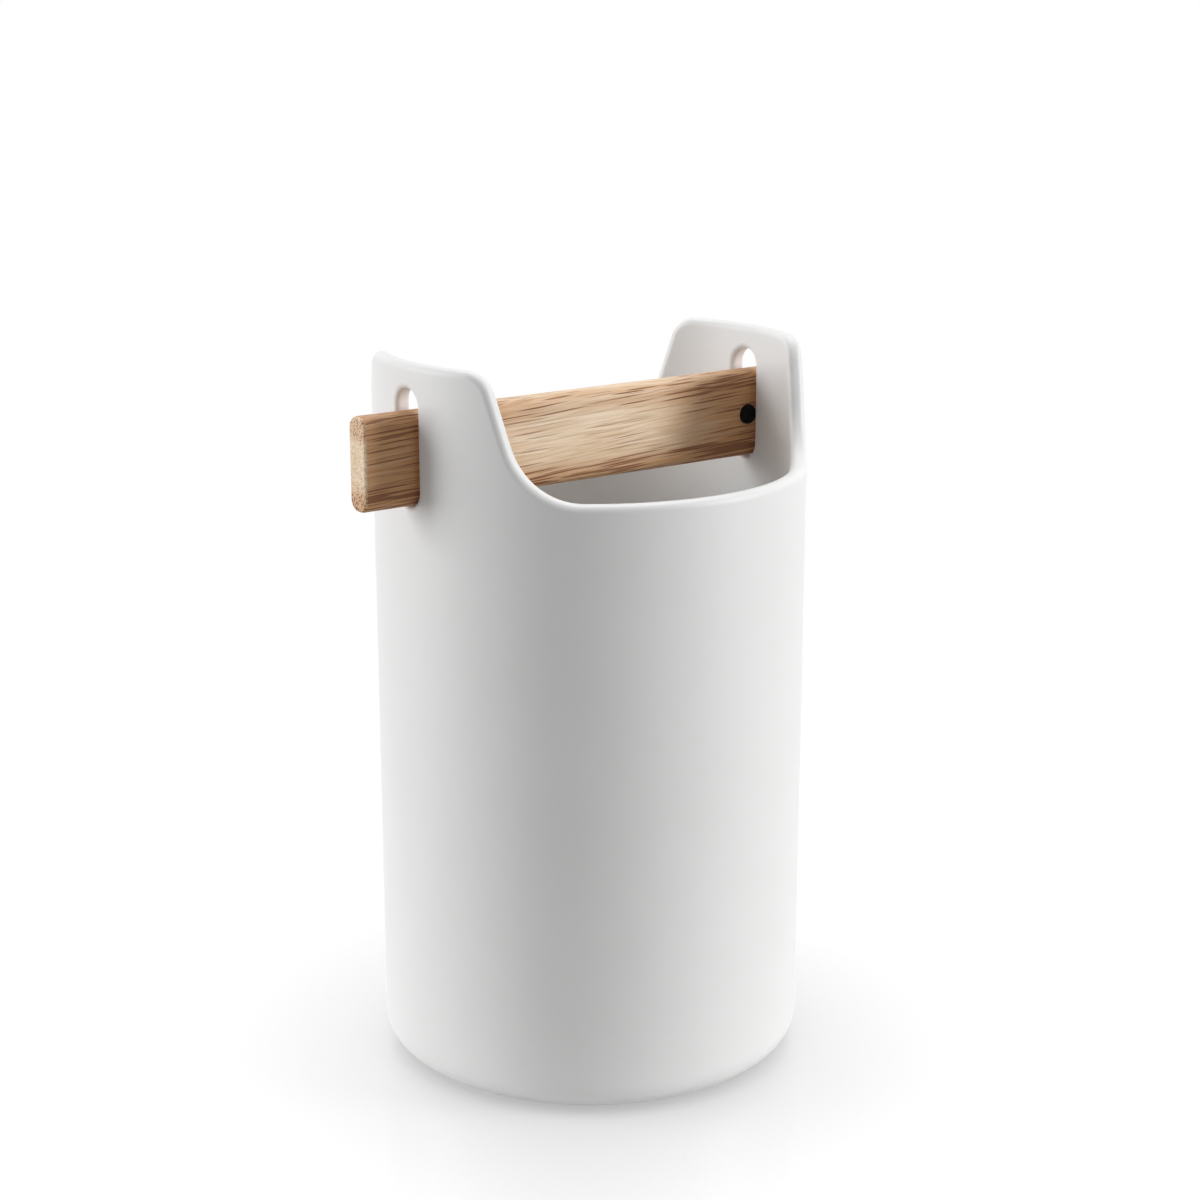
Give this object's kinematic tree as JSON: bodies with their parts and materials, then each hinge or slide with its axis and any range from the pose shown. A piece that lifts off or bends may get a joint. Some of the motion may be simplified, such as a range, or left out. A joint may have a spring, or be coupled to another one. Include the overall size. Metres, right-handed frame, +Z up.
{
  "type": "utensil holder",
  "caption": "Straight stoneware jar for kitchen utensils, with raised ears at the sides and a flat oak bar lying in their slots as a carrying handle, kept by rubber stops.",
  "frame": {"origin": "on the table under the middle of the jar", "axes": "+Z up, +X along the handle bar, the front of the jar faces -Y"},
  "size_m": [0.1474, 0.118, 0.2],
  "materials": {
    "stoneware": "matt white glaze, satin on the rounded edges, bare clay on the foot ring",
    "oak": "oiled oak with open pores and lengthwise grain",
    "stop_rubber": "matt black"
  },
  "bodies": {
    "jar": {"jar": "stoneware"},
    "handle": {"handle_bar": "oak", "left_stop": "stop_rubber", "right_stop": "stop_rubber"}
  },
  "joints": [
    {"name": "handle_lift", "type": "slide", "parent": "jar", "child": "handle", "axis": [0, 0, 1], "range_m": [0, 0.0052]}
  ]
}
